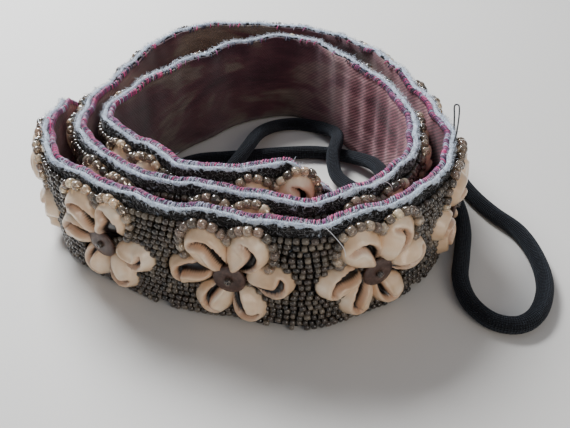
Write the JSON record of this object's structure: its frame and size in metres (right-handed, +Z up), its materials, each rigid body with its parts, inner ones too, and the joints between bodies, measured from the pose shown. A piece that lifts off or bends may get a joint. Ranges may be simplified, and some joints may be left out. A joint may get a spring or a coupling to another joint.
{
  "type": "coiled felt belt with cowrie-shell flowers, seed beads and cord loops",
  "caption": "Felt belt coiled on edge, with a woven cotton lining, seed beads and cowrie-shell flowers outside and a soft cord loop at each end.",
  "frame": {"origin": "on the ground, under the middle of the coiled belt's outline without its two cords", "axes": "+Z up, across the belt's width; -Y towards the side the picture shows; +X to the right as seen from there"},
  "size_m": [0.1748, 0.174, 0.04],
  "materials": {
    "felt": "matt",
    "cotton": "matt",
    "beads": "glossy",
    "shell": "glossy",
    "coconut": "satin",
    "cord": "matt"
  },
  "bodies": {
    "root": {"felt_band": "felt", "cotton_lining": "cotton", "bead_field": "beads", "cowrie_flower_01": "shell", "cowrie_flower_02": "shell", "cowrie_flower_03": "shell", "cowrie_flower_04": "shell", "cowrie_flower_05": "shell", "cowrie_flower_06": "shell", "cowrie_flower_07": "shell", "cowrie_flower_08": "shell", "cowrie_flower_09": "shell", "cowrie_flower_10": "shell", "cowrie_flower_11": "shell", "cowrie_flower_12": "shell", "cowrie_flower_13": "shell", "cowrie_flower_14": "shell", "cowrie_flower_15": "shell", "cowrie_flower_16": "shell", "cowrie_flower_17": "shell", "cowrie_flower_18": "shell", "cowrie_flower_19": "shell", "cowrie_flower_20": "shell", "cowrie_flower_21": "shell", "coconut_disc_01": "coconut", "coconut_disc_02": "coconut", "coconut_disc_03": "coconut", "coconut_disc_04": "coconut", "coconut_disc_05": "coconut", "coconut_disc_06": "coconut", "coconut_disc_07": "coconut", "coconut_disc_08": "coconut", "coconut_disc_09": "coconut", "coconut_disc_10": "coconut", "coconut_disc_11": "coconut", "coconut_disc_12": "coconut", "coconut_disc_13": "coconut", "coconut_disc_14": "coconut", "coconut_disc_15": "coconut", "coconut_disc_16": "coconut", "coconut_disc_17": "coconut", "coconut_disc_18": "coconut", "coconut_disc_19": "coconut", "coconut_disc_20": "coconut", "coconut_disc_21": "coconut", "inner_cord_loop": "cord", "outer_cord_loop": "cord"}
  },
  "joints": []
}
